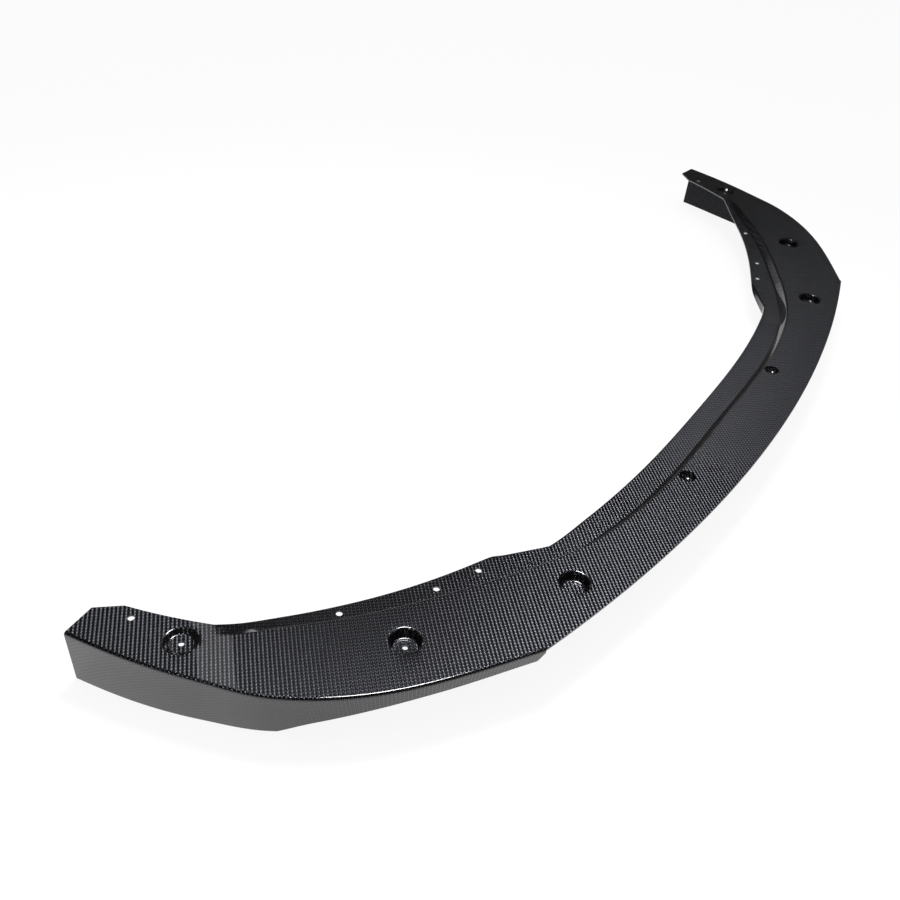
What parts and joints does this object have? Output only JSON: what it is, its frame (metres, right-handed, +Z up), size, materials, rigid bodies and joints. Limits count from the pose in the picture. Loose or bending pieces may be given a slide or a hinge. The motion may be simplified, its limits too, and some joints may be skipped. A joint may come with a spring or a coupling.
{
  "type": "front splitter lip",
  "caption": "Moulded carbon-fibre front splitter lip: wide curved plate, stepped mounting flange, dished bolt wells and swept-back wings with an outer skirt.",
  "frame": {"origin": "centre of the bounding box at its bottom, on the level of the skirt's lower edge at the wing tips", "axes": "+Z up out of the plate's face, -Y toward the front edge, +X across the car; the plate lies level"},
  "size_m": [1.8, 0.5264, 0.082],
  "materials": {
    "carbon_twill": "gloss clear coat over 2x2 carbon twill"
  },
  "bodies": {
    "root": {"splitter_lip": "carbon_twill"}
  },
  "joints": []
}
